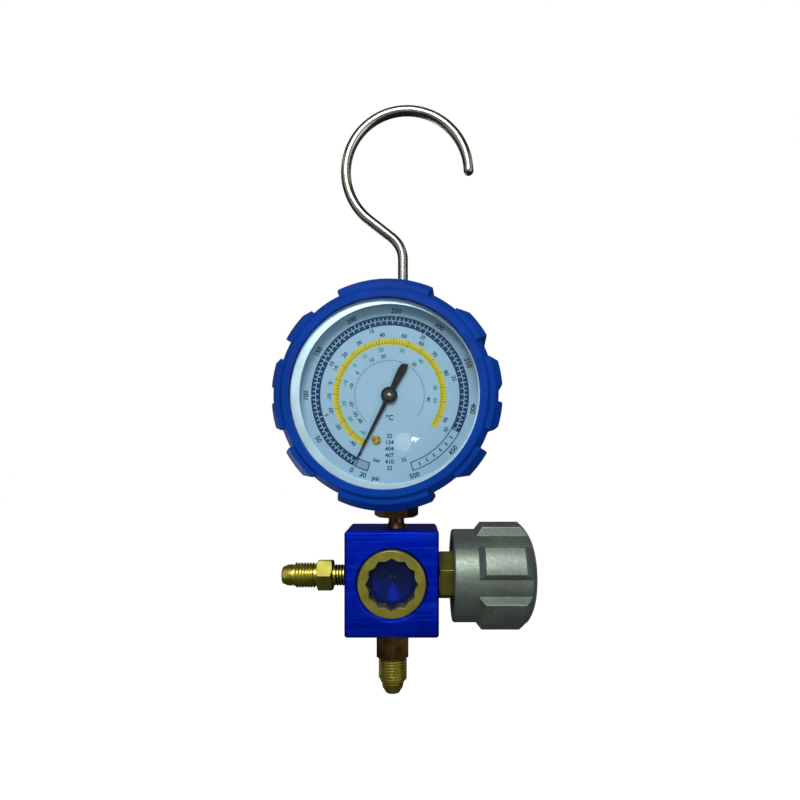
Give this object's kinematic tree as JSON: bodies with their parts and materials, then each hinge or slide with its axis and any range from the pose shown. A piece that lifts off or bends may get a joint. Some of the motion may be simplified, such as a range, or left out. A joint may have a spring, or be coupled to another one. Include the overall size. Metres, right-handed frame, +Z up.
{
  "type": "refrigerant manifold gauge",
  "caption": "Single-valve charging manifold: booted dial gauge on a sight-glass block with two male flare ports, a lobed hand valve and a wire hook",
  "frame": {"origin": "the point inside the top of the hook's loop that rests on a rod or nail", "axes": "+Z up along the hanging object, -Y the side with the sight glass and the dial, +X towards the hand valve"},
  "size_m": [0.1143, 0.0476, 0.2663],
  "materials": {
    "block": "blue anodised, brushed",
    "brass": "machined",
    "dark_brass": "oxidised",
    "steel": "bright wire",
    "zinc": "zinc plated",
    "case": "satin silver",
    "bezel": "satin silver",
    "knob": "satin silver-grey paint",
    "knob_cap": "satin",
    "boot": "satin blue rubber",
    "seal": "black nitrile",
    "soft_disc": "white PTFE",
    "glass": "clear",
    "dial": "printed face",
    "pointer": "satin black",
    "pointer_hub": "dark grey",
    "bronze": "phosphor bronze"
  },
  "bodies": {
    "manifold": {"manifold_block": "block", "left_flare_fitting": "brass", "bottom_flare_fitting": "brass", "sight_glass_retainer": "brass", "sight_glass_lens": "glass", "sight_glass_seal": "seal", "valve_bonnet": "brass", "bonnet_seal": "seal", "gauge_socket": "dark_brass", "flow_restrictor": "brass", "gauge_case": "case", "case_screws": "zinc", "lens_gasket": "seal", "gauge_lens": "glass", "bezel_ring": "bezel", "dial_plate": "dial", "dial_spacer": "bezel", "bourdon_tube": "bronze", "tube_tip": "brass", "movement_rear_plate": "brass", "movement_front_plate": "brass", "movement_pillars": "brass", "movement_screws": "zinc", "pillar_screws": "zinc", "hairspring": "bronze", "gauge_boot": "boot", "hook_washer": "zinc"},
    "valve_seals": {"spindle_seat_disc": "soft_disc", "spindle_inner_o_ring": "seal", "spindle_outer_o_ring": "seal"},
    "hand_valve": {"valve_spindle": "brass", "knob": "knob", "knob_washer": "zinc", "knob_screw": "zinc", "knob_cap": "knob_cap"},
    "sector": {"sector_gear": "brass", "sector_arbor": "zinc"},
    "link": {"movement_link": "brass"},
    "pointer_assembly": {"pinion_spindle": "zinc", "pointer": "pointer", "pointer_hub": "pointer_hub"},
    "zero_screw": {"zero_adjust_screw": "brass"},
    "hook": {"hanging_hook": "steel", "hook_nut": "zinc"}
  },
  "joints": [
    {"name": "valve_lift", "type": "slide", "parent": "manifold", "child": "valve_seals", "axis": [1, 0, 0], "range_m": [0, 0.0045]},
    {"name": "valve_turn", "type": "hinge", "parent": "valve_seals", "child": "hand_valve", "pos_m": [0.01358, -0.00786, -0.2096], "axis": [1, 0, 0], "range_deg": [0, 1080]},
    {"name": "sector_swing", "type": "hinge", "parent": "manifold", "child": "sector", "pos_m": [-0.00707, -0.01275, -0.14635], "axis": [-0.0523, -0.9986, 0], "range_deg": [-1.34, 39.44]},
    {"name": "link_swing", "type": "hinge", "parent": "sector", "child": "link", "pos_m": [-0.00732, -0.01274, -0.15385], "axis": [-0.0523, -0.9986, 0], "range_deg": [-39.44, 1.34]},
    {"name": "pointer_turn", "type": "hinge", "parent": "manifold", "child": "pointer_assembly", "pos_m": [-0.00707, -0.01275, -0.1306], "axis": [0.0523, 0.9986, 0], "range_deg": [-10.72, 315.52]},
    {"name": "zero_screw_turn", "type": "hinge", "parent": "manifold", "child": "zero_screw", "pos_m": [-0.01303, -0.01945, -0.1497], "axis": [0.0523, 0.9986, 0], "range_deg": [-90, 90]},
    {"name": "hook_swivel", "type": "hinge", "parent": "manifold", "child": "hook", "pos_m": [-0.002, 0, -0.0706], "axis": [0, 0, 1], "continuous": true}
  ],
  "couplings": [
    {"joint": "valve_lift", "follows": "valve_turn", "m_per_rad": 0.00023873},
    {"joint": "pointer_turn", "follows": "sector_swing", "ratio": 8},
    {"joint": "link_swing", "follows": "sector_swing", "ratio": -1}
  ]
}
